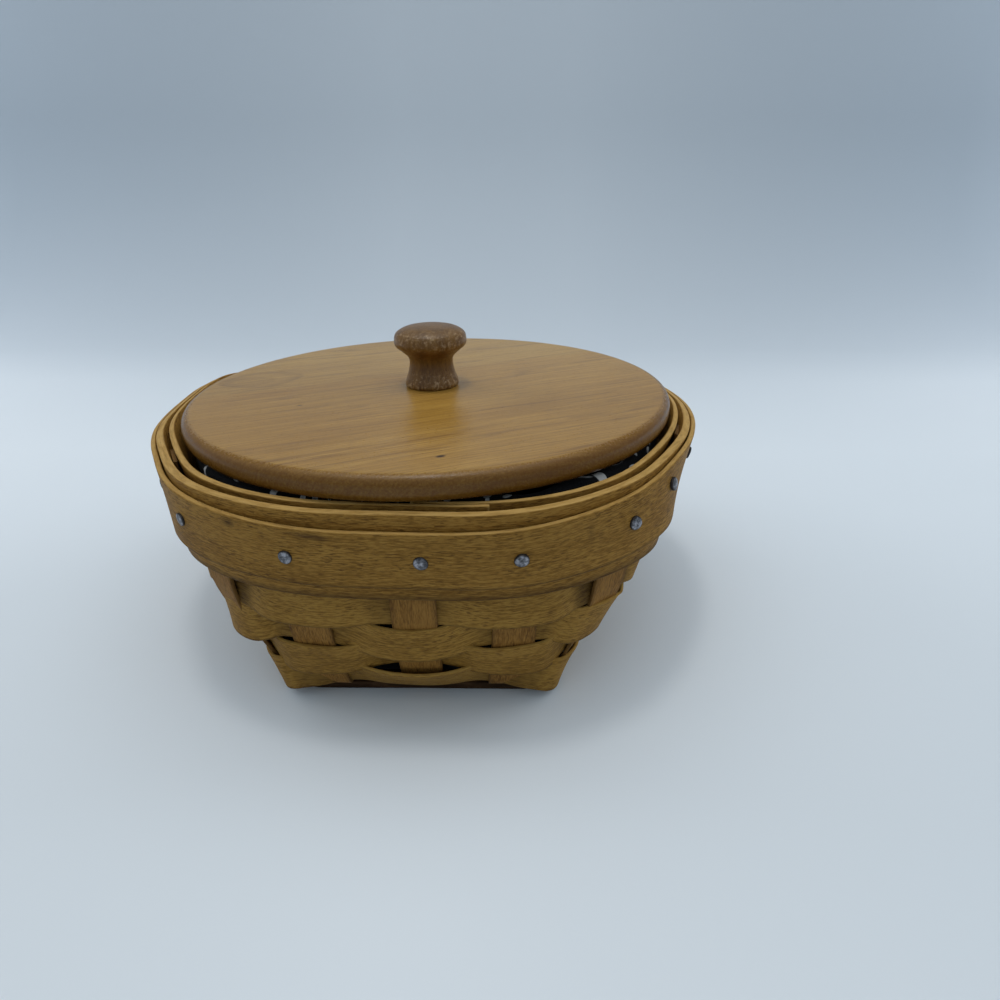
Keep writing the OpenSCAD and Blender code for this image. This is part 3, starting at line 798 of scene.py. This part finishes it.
def splint(name, k0, k1, at, s, reach, pitch, sign, seed, mat, node, runner=False):
    va = np.linspace(0.962, 0.02, 70)
    p0 = off(np.full_like(va, k0), va, np.zeros_like(va))
    p1 = off(np.full_like(va, k1), va[::-1], np.zeros_like(va))
    u = np.linspace(-reach, reach, 110)
    z = BASE_MID + sign * BASE_STEP * step(u / pitch)
    if s > 0:
        # every long splint passes over the thick runner at either end
        f = np.clip((np.abs(u) - 49) / 6, 0, 1)
        f = f * f * (3 - 2 * f)
        z = z * (1 - f) + 3.35 * f
    if runner:
        z = np.full_like(u, 1.32)
    base = np.stack([np.full_like(u, at), u, z], -1) if s > 0 else np.stack([u, np.full_like(u, at), z], -1)
    ax = np.array([1.0, 0, 0]) if s > 0 else np.array([0, -1.0, 0])
    a0 = along(np.full_like(va, k0), va)
    a1 = along(np.full_like(va, k1), va[::-1])
    a0 = a0 * np.sign((a0 * ax).sum(-1, keepdims=True))
    a1 = a1 * np.sign((a1 * ax).sum(-1, keepdims=True))
    C = np.concatenate([p0, base, p1])
    A = np.concatenate([a0, np.broadcast_to(ax, base.shape), a1])
    # even spacing, then round the two turns
    L = np.concatenate([[0], np.cumsum(np.linalg.norm(np.diff(C, axis=0), axis=1))])
    n = int(L[-1] / 0.75)
    q = np.linspace(0, L[-1], n)
    C = np.stack([np.interp(q, L, C[:, i]) for i in range(3)], -1)
    A = np.stack([np.interp(q, L, A[:, i]) for i in range(3)], -1)
    C = smooth_along(C, 9)
    A = unit(smooth_along(A, 30))
    C[:, 2] = np.maximum(C[:, 2], 0.56)
    T = unit(np.gradient(C, axis=0))
    U = unit(A - T * (A * T).sum(-1, keepdims=True))
    N = unit(np.cross(T, U))
    width = 1 + wander(n, 40, seed, 0.006)
    thick, dark_mark = None, None
    # the runners are drawn thicker and darker along their stretch under the base
    if runner:
        f = np.clip((37 - np.abs(C[:, 0])) / 5, 0, 1) * np.clip((6 - C[:, 2]) / 3, 0, 1)
        f = f * f * (3 - 2 * f)
        thick, dark_mark = 1 + 1.3 * f, f
    # painted shadow along both long edges, for the dark gaps beside each upright
    ob = strip(name, C, U, N, SPLINT_W, SPLINT_T, seed, width=width, r=0.3, thick=thick, dark_mark=dark_mark, sides=0.55)
    dress(ob, mat, "basket", "upright_splint", node)
    return ob


for _i, _side in ((-1, "left"), (0, "middle"), (1, "right")):
    _off = 1.4 if _i == 0 else 0.0
    splint(f"upright_long_{_side}", 1 + _i + _off / LONG_PITCH, 11 - _i - _off / LONG_PITCH, _i * LONG_PITCH + _off, 1, FOOT_Y - 3.2,
           CROSS_PITCH, 1 if _i == 0 else -1, 200 + _i, M_UPRIGHT, f"long_splint_{_side}")
for _j in range(1, 8):
    # the outermost two stand a little further out under the base
    _at = (_j - 4) * CROSS_PITCH + (-1.6 if _j == 1 else 1.6 if _j == 7 else 0.0)
    splint(f"upright_cross_{_j}", 20 - _j, 2 + _j, _at, -1, FOOT_X - 3.2, LONG_PITCH, -1 if _j % 2 == 0 else 1,
           210 + _j, M_UPRIGHT, f"cross_splint_{_j}", runner=_j in (1, 7))


# ---------------------------------------------------------------- bands
def band(name, k, za, zb, o_lo, o_hi, t, seed, mat, node, thick=None, width=None, nw=12, wob=0.05, low=0.85, marks=None):
    """A bent strip along stations k, between heights za and zb, its middle o_lo and o_hi from the wall there."""
    n = len(k)
    va, vb = v_of(np.broadcast_to(za, k.shape)), v_of(np.broadcast_to(zb, k.shape))
    w = wander(n, 22, seed, wob)
    lo, hi = off(k, va, o_lo + w), off(k, vb, o_hi + w)
    C = (lo + hi) / 2
    T = unit(np.gradient(C, axis=0))
    h = np.linalg.norm(hi - lo, axis=1)
    U = unit(hi - lo)
    U = unit(U - T * (U * T).sum(-1, keepdims=True))
    N = unit(np.cross(T, U))
    w0 = float(h.mean())
    ww = h / w0 if width is None else h / w0 * width
    dark_mark = None
    if marks:
        def dark_mark(rel):
            out = np.zeros_like(rel)
            for k0, r0, dk, dr, amount in marks:
                d = np.mod(k - k0 + NS / 2, NS) - NS / 2
                out = out + amount * np.exp(-(d[:, None] / dk) ** 2 - ((rel - r0) / dr) ** 2)
            return np.clip(out, 0, 1)
    # low gives painted shade along the band's lower edge
    ob = strip(name, C, U, N, w0, t, seed, r=0.38, nw=nw, width=ww, thick=thick, low=low, dark_mark=dark_mark)
    dress(ob, mat, "basket", "band", node)
    return ob


def lapped(k_start, over, n=560):
    """Stations of a strip whose last stretch lies over its first, with the share of the lap at each end."""
    k = np.linspace(k_start, k_start + NS + over, n)
    first = np.clip(1 - (k - k_start) / over, 0, 1)
    last = np.clip((k - (k_start + NS)) / over, 0, 1)
    return k, first, last


def side_share(k):
    return np.cos(np.radians(ang_at(k))) ** 2


def trim_span(k):
    return RIM_Z - TRIM_BOTTOM + TRIM_BOTTOM_RISE * side_share(k), RIM_Z - TRIM_TOP + TRIM_TOP_RISE * side_share(k)


# trim band: scarfed lap at the back
_k, _a, _b = lapped(10.35, 1.5, 1100)
_th = 1 - 0.62 * np.maximum(_a, _b)
_s = -0.45 * np.clip(_a * 1.2, 0, 1) + 0.45 * np.clip(_b * 1.2, 0, 1)
_lo, _hi = trim_span(_k)
band("trim_band_strip", _k, _lo, _hi, TRIM_LO + TRIM_T / 2 + _s, TRIM_HI + TRIM_T / 2 + _s, TRIM_T, 301, M_TRIM, "trim_band", thick=_th, wob=0.03, nw=22,
     # smudges: station, place across (-1 to 1), spread along and across, strength
     marks=[(19.55, 0.74, 0.055, 0.11, 0.75), (0.24, 0.80, 0.10, 0.09, 0.75), (0.36, 0.74, 0.06, 0.08, 0.6), (2.55, 0.40, 0.04, 0.45, 0.28), (2.64, 0.1, 0.03, 0.3, 0.2)])

# outer band
_k, _a, _b = lapped(11.9, 1.6)
_th = 1 - 0.62 * np.maximum(_a, _b)
_s = -0.6 * np.clip(_a * 1.2, 0, 1) + 0.6 * np.clip(_b * 1.2, 0, 1)
band("outer_band_strip", _k, RIM_Z + 0.3 - BAND_H, RIM_Z - 0.5, OUT_LO + OUT_T / 2 + _s, OUT_HI + OUT_T / 2 + _s, OUT_T, 302, M_BAND, "outer_band", thick=_th, wob=0.03)

# inner band: its first end lies inside its last end, in front
_k = np.linspace(1.08, NS + 1.76, 620)
_first = 1 - ease(_k, 1.75, 2.7)
_last = ease(_k, NS + 0.5, NS + 1.1)
_s = 0.72 * _first - 0.62 * _last
_th = (1 - 0.34 * np.maximum(_first, _last)) * (0.25 + 0.75 * ease(_k, 1.08, 1.5))
band("inner_band_strip", _k, RIM_Z - BAND_H, RIM_Z + 0.2 * _first, -(IN_LO + IN_T / 2) - _s, -(at_stations(IN_HI, _k) - IN_T / 2) - _s, IN_T, 303,
     M_BAND, "inner_band", thick=_th, wob=0.03, low=0.0)


# ---------------------------------------------------------------- tacks
# tacks driven a little off their uprights: along (in spacings) and up (mm)
TACK_OFF = {0: (0.04, -0.4), 1: (0.19, -0.1), 2: (-0.02, -0.2), 3: (0.0, 0.2), 4: (-0.25, 2.6), 5: (0.1, 0.0), 18: (0.0, 0.8), 19: (-0.05, 0.4)}


def tacks():
    rng = np.random.default_rng(7)
    V, F, G, E = [], [], [], []
    r0 = 1.95
    # profile: radius share, height, and the edge value that carries the painted shadow ring
    prof = [(1.0, -0.55, 1.0), (1.0, 0.02, 1.0), (0.99, 0.20, 0.97), (0.95, 0.36, 0.90), (0.87, 0.47, 0.8), (0.70, 0.56, 0.6), (0.48, 0.62, 0.4), (0.24, 0.65, 0.2)]
    m = 28
    for i in range(NS):
        dk, dz = TACK_OFF.get(i, (rng.uniform(-0.035, 0.035), rng.uniform(-0.8, 0.8)))
        kk = i + dk
        za, zb = trim_span(np.array(kk))
        zt = (za + zb) / 2 + dz
        vv = float(v_of(zt))
        share = (zt - za) / (zb - za)
        p = off(np.array(kk), np.array(vv), np.array(TRIM_LO + (TRIM_HI - TRIM_LO) * share + TRIM_T - 0.03))
        n = wall_n(np.array(kk), np.array(vv))
        a = unit(np.cross(np.array([0, 0, 1.0]), n))
        b = np.cross(n, a)
        tip = rng.normal(0, 0.05, 2)
        n2 = unit(n + a * tip[0] + b * tip[1])
        a = unit(a - n2 * (a @ n2))
        b = np.cross(n2, a)
        base = len(V)
        r = r0 * rng.uniform(0.97, 1.06)
        ph = rng.uniform(0, 6.28, 3)
        th = np.arange(m) * 2 * math.pi / m
        for (pr, ph_, e) in prof:
            wob = 1 + 0.025 * np.sin(2 * th + ph[0]) + 0.015 * np.sin(3 * th + ph[1])
            dent = 0.06 * np.sin(2 * th + ph[2]) * (1 - pr)
            for t_, w_, d_ in zip(th, wob, dent):
                rr = r * pr * w_
                V.append(p + a * rr * math.cos(t_) + b * rr * math.sin(t_) + n2 * (ph_ * 0.78 + d_))
                G.append([rr * math.cos(t_) + 31 * i, rr * math.sin(t_) + 17 * i, ph_])
                E.append(e)
        V.append(p + n2 * 0.515)
        G.append([31 * i, 17 * i, 0.65])
        E.append(0.0)
        top = len(V) - 1
        for q in range(len(prof) - 1):
            for j in range(m):
                j2 = (j + 1) % m
                F.append((base + q * m + j, base + q * m + j2, base + (q + 1) * m + j2, base + (q + 1) * m + j))
        for j in range(m):
            F.append((base + (len(prof) - 1) * m + j, base + (len(prof) - 1) * m + (j + 1) % m, top))
        F.append(tuple(base + j for j in range(m))[::-1])
    ob = make_mesh("tack_heads", np.array(V), F, {"g": np.array(G), "edge": np.array(E)}, angle=50)
    dress(ob, M_TACK, "basket", "tack", "tacks")


tacks()


# ---------------------------------------------------------------- liner
def liner():
    nk = 420
    k = np.arange(nk) * NS / nk
    rng = np.random.default_rng(21)
    fold = wander(nk * 2, 9, 22, 1.0)[:nk]
    # the wander is closed by easing its end into its start
    e = np.linspace(0, 1, 40)
    fold[-40:] = fold[-40:] * (1 - e) + fold[0] * e
    ph = 2 * math.pi * np.arange(nk) / nk
    ripple = 0.55 * np.sin(33 * ph + 1.2 * np.sin(5 * ph)) + 0.5 * fold
    rows = []
    dist = 0.0
    o_in = IN_LO + IN_T + 1.0
    # from the floor up the wall, then a slack roll at the top
    heights = np.concatenate([np.linspace(4.4, 60.0, 34), np.linspace(61.5, 69.0, 8)])
    for z in heights:
        share = np.clip((z - 8) / 60, 0, 1)
        rows.append(off(k, np.full(nk, v_of(z)) * (1 - 0.0), -(o_in + share * (0.35 + 0.45 * (ripple + 1)))))
    top = rows[-1]
    n_in = -wall_n(k, np.full(nk, v_of(69.0)))
    n_in[:, 2] = 0
    n_in = unit(n_in)
    lift = 1.6 + 0.35 * ripple
    for a in np.linspace(0, 200, 15)[1:]:
        r = 2.6 + 0.55 * ripple
        ar = math.radians(a)
        p = top + n_in * (r * (1 - math.cos(ar)))[:, None]
        p = p + np.array([0, 0, 1.0]) * (lift * math.sin(min(ar, math.pi)) - (a > 180) * 0.35 * (a - 180) / 4)[:, None]
        rows.append(p)
    last = rows[-1]
    for d in (2.0, 4.0, 6.0):
        rows.append(last + np.array([0, 0, -1.0]) * d + n_in * (0.4 * d * (0.4 + 0.2 * ripple))[:, None])
    z0 = 2 * BASE_MID + 0.75
    floor_rows = []
    foot = rows[0]
    for f in (0.965, 0.9, 0.82, 0.74, 0.66, 0.58, 0.5, 0.35, 0.18, 0.06):
        p = foot.copy()
        p[:, 0] *= f
        p[:, 1] *= f
        # it rises over the thick runners at either end
        p[:, 2] = z0 + (0.10 * np.sin(p[:, 0] * 0.16 + 0.7) * np.cos(p[:, 1] * 0.11) + 0.12) + 1.3 * ease(np.abs(p[:, 1]), 40, 48)
        floor_rows.append(p)
    rows = floor_rows[::-1] + rows
    P = np.array(rows)
    nr = len(rows)
    V = P.reshape(-1, 3)
    faces = []
    for i in range(nr - 1):
        for j in range(nk):
            j2 = (j + 1) % nk
            faces.append((i * nk + j, i * nk + j2, (i + 1) * nk + j2, (i + 1) * nk + j))
    V = np.concatenate([V, [[0, 0, z0 + 0.1]]])
    c = len(V) - 1
    for j in range(nk):
        faces.append((c, (j + 1) % nk, j))
    # cloth coordinates: laid flat from the middle of the floor outwards
    d = np.linalg.norm(np.diff(P, axis=0), axis=2).mean(1)
    rad = np.concatenate([[2.0], 2.0 + np.cumsum(d)])
    dirn = unit(foot[:, :2])
    G = np.zeros((nr, nk, 3))
    G[..., :2] = dirn[None] * rad[:, None, None]
    G = np.concatenate([G.reshape(-1, 3), [[0, 0, 0]]])
    me_ob = make_mesh("cloth_liner_sheet", V, faces, {"g": G}, angle=180)
    return me_ob


LINER = liner()
dress(LINER, M_LINER, "basket", "liner", "liner_side", "liner_floor")


# ---------------------------------------------------------------- lid
def lid_profile():
    r, t, q = LID_R, LID_T, LID_ROUND
    pts = []
    for x in np.linspace(2.0, r - q - 1.0, 26):
        pts.append((x, t))
    for a in np.linspace(90, 0, 10):
        pts.append((r - q + q * math.cos(math.radians(a)), t - q + q * math.sin(math.radians(a))))
    for a in np.linspace(0, -90, 10):
        pts.append((r - q + q * math.cos(math.radians(a)), q + q * math.sin(math.radians(a))))
    for x in np.linspace(r - q - 1.0, 3.75, 22):
        pts.append((x, 0))
    pts += [(2.0, 1.9), (2.0, 4.5)]
    return [(x, z + LID_Z) for x, z in pts]


def lid():
    V, F = lathe("lid", lid_profile(), 240, closed_prof=True)
    ca, sa = math.cos(math.radians(GRAIN_TURN)), math.sin(math.radians(GRAIN_TURN))
    for name, node, keep_back, mat, slot in (("lid_front_plank", "lid_board_front", False, M_LID_F, "lid_front"),
                                             ("lid_back_plank", "lid_board_back", True, M_LID_B, "lid_back")):
        bm = bmesh.new()
        vs = [bm.verts.new(p) for p in V]
        for f in F:
            bm.faces.new([vs[i] for i in f])
        bmesh.ops.recalc_face_normals(bm, faces=bm.faces)
        no = Vector((-sa, ca, 0))
        geom = bm.verts[:] + bm.edges[:] + bm.faces[:]
        bmesh.ops.bisect_plane(bm, geom=geom, plane_co=no * GLUE_OFF, plane_no=no, dist=1e-4,
                               clear_inner=keep_back, clear_outer=not keep_back)
        edges = [e for e in bm.edges if e.is_boundary]
        bmesh.ops.holes_fill(bm, edges=edges, sides=0)
        bmesh.ops.recalc_face_normals(bm, faces=bm.faces)
        bm.verts.index_update()
        verts = np.array([v.co[:] for v in bm.verts])
        faces = [tuple(v.index for v in f.verts) for f in bm.faces]
        bm.free()
        g = np.stack([verts[:, 0] * ca + verts[:, 1] * sa, -verts[:, 0] * sa + verts[:, 1] * ca, verts[:, 2] - LID_Z], -1)
        # edge: 1 on the rounding, where painted shade darkens the colour
        edge = np.clip((np.hypot(verts[:, 0], verts[:, 1]) - (LID_R - LID_ROUND)) / LID_ROUND, 0, 1)
        ob = make_mesh(name, seat(verts), faces, {"g": g, "edge": edge}, angle=50)
        dress(ob, mat, "lid", slot, node)


lid()

KNOB_PTS = [(0.352, 0.0), (0.374, 0.035), (0.366, 0.10), (0.326, 0.24), (0.302, 0.39), (0.322, 0.50), (0.410, 0.60), (0.486, 0.68), (0.498, 0.77), (0.468, 0.88), (0.34, 0.962), (0.16, 0.994), (0.02, 1.0)]


def knob():
    n = len(KNOB_PTS)
    pts = []
    P = np.array(KNOB_PTS)
    for i in range(n - 1):
        a, b, c, d = P[max(0, i - 1)], P[i], P[i + 1], P[min(n - 1, i + 2)]
        for t in np.arange(0, 1, 0.125):
            e = 0.5 * ((2 * b) + (c - a) * t + (2 * a - 5 * b + 4 * c - d) * t * t + (3 * b - a - 3 * c + d) * t ** 3)
            pts.append((e[0] * KNOB_D, e[1] * KNOB_H + LID_TOP))
    pts.append((0.02 * KNOB_D, KNOB_H + LID_TOP))
    V, F = lathe("knob", pts, 128)
    hgt = (V[:, 2] - LID_TOP) / KNOB_H
    rad = np.hypot(V[:, 0], V[:, 1]) / (KNOB_D / 2)
    # pale mask: wear on the head's upper curve, and a painted highlight round the foot
    wear_and_highlight = (0.35 + 0.65 * np.clip((rad - 0.72) / 0.2, 0, 1)) * np.clip((hgt - 0.6) / 0.15, 0, 1) + np.clip((0.30 - hgt) / 0.14, 0, 1) * 1.2
    ob = make_mesh("knob_turned", seat(V), F, {"g": V.copy(), "wear_and_highlight": wear_and_highlight}, angle=60)
    dress(ob, M_KNOB, "lid", "knob", "knob")


knob()

for _n in ("knob_screw",):
    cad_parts[_n].data.materials.clear()
    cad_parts[_n].data.materials.append(M_SCREW)


# ---------------------------------------------------------------- stage
def stage():
    xs = np.linspace(-1.6, 1.6, 40)
    prof = [(-1.4, 0.0), (-0.8, 0.0), (-0.3, 0.0), (0.0, 0.0), (0.25, 0.0), (0.40, 0.0)]
    R = 0.22
    for a in np.linspace(0, 90, 16)[1:]:
        ar = math.radians(a)
        prof.append((0.40 + R * math.sin(ar), R * (1 - math.cos(ar))))
    prof += [(0.62, 0.6), (0.62, 1.4)]
    V = [(x, y, z - 0.00005) for (y, z) in prof for x in xs]
    n, m = len(prof), len(xs)
    F = [(i * m + j, i * m + j + 1, (i + 1) * m + j + 1, (i + 1) * m + j) for i in range(n - 1) for j in range(m - 1)]
    me = bpy.data.meshes.new("floor_sweep")
    me.from_pydata(V, [], F)
    me.polygons.foreach_set("use_smooth", np.ones(len(F), bool))
    ob = bpy.data.objects.new("floor_sweep", me)
    me.materials.append(M_FLOOR)
    bpy.context.scene.collection.objects.link(ob)
    ob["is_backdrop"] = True


stage()


def area(name, loc, target, size, power, col, glossy=True):
    d = bpy.data.lights.new(name, "AREA")
    d.shape = "RECTANGLE"
    d.size, d.size_y = size
    d.energy = power
    d.color = col
    o = bpy.data.objects.new(name, d)
    o.location = loc
    o.rotation_mode = "QUATERNION"
    o.rotation_quaternion = (Vector(target) - Vector(loc)).to_track_quat("-Z", "Y")
    o.visible_glossy = glossy
    bpy.context.scene.collection.objects.link(o)


area("top_softbox", (0.0, 0.05, 0.75), (0.0, 0.0, 0.05), (0.90, 0.70), 1.35, (0.95, 0.97, 1.0))
area("lamp", (-0.05, -0.05, 0.80), (0.0, -0.03, 0.08), (0.10, 0.10), 0.75, (1.0, 0.98, 0.95))
area("left_fill", (-0.74, 0.36, 0.36), (0.0, 0.0, 0.03), (0.60, 0.50), 2.3, (0.95, 0.97, 1.0), False)
area("right_fill", (0.74, 0.36, 0.36), (0.0, 0.0, 0.03), (0.60, 0.50), 2.2, (0.95, 0.97, 1.0), False)

world = bpy.data.worlds.new("studio")
bpy.context.scene.world = world
world.use_nodes = True
bg = world.node_tree.nodes["Background"]
# bright overhead, dimmer towards the horizon
_nt = world.node_tree
_dir = _nt.nodes.new("ShaderNodeTexCoord")
_sep = _nt.nodes.new("ShaderNodeSeparateXYZ")
_sky = _nt.nodes.new("ShaderNodeValToRGB")
_nt.links.new(_dir.outputs["Generated"], _sep.inputs[0])
_nt.links.new(_sep.outputs["Z"], _sky.inputs[0])
_nt.links.new(_sky.outputs[0], bg.inputs["Color"])
_sky.color_ramp.elements[0].position = 0.02
_sky.color_ramp.elements[0].color = (0.30, 0.34, 0.38, 1.0)
_sky.color_ramp.elements[1].position = 0.75
_sky.color_ramp.elements[1].color = (0.80, 0.91, 1.0, 1.0)
_mid = _sky.color_ramp.elements.new(0.30)
_mid.color = (0.64, 0.74, 0.83, 1.0)
bg.inputs["Strength"].default_value = 0.58

cam_d = bpy.data.cameras.new("camera")
cam_d.sensor_width = 36.0
cam_d.lens = 637.0 / 1000.0 * 36.0
cam_d.clip_start = 0.01
cam = bpy.data.objects.new("camera", cam_d)
bpy.context.scene.collection.objects.link(cam)
_p, _y = math.radians(25.75), math.radians(-0.51)
_fwd = Vector((math.sin(_y) * math.cos(_p), math.cos(_y) * math.cos(_p), -math.sin(_p)))
cam.location = (0.0262, -0.2243, 0.142)
cam.rotation_mode = "QUATERNION"
cam.rotation_quaternion = _fwd.to_track_quat("-Z", "Y")
bpy.context.scene.camera = cam
bpy.context.scene.view_settings.view_transform = "Standard"
bpy.context.scene.view_settings.look = "None"

bpy.context.view_layer.update()
_lo, _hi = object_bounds()
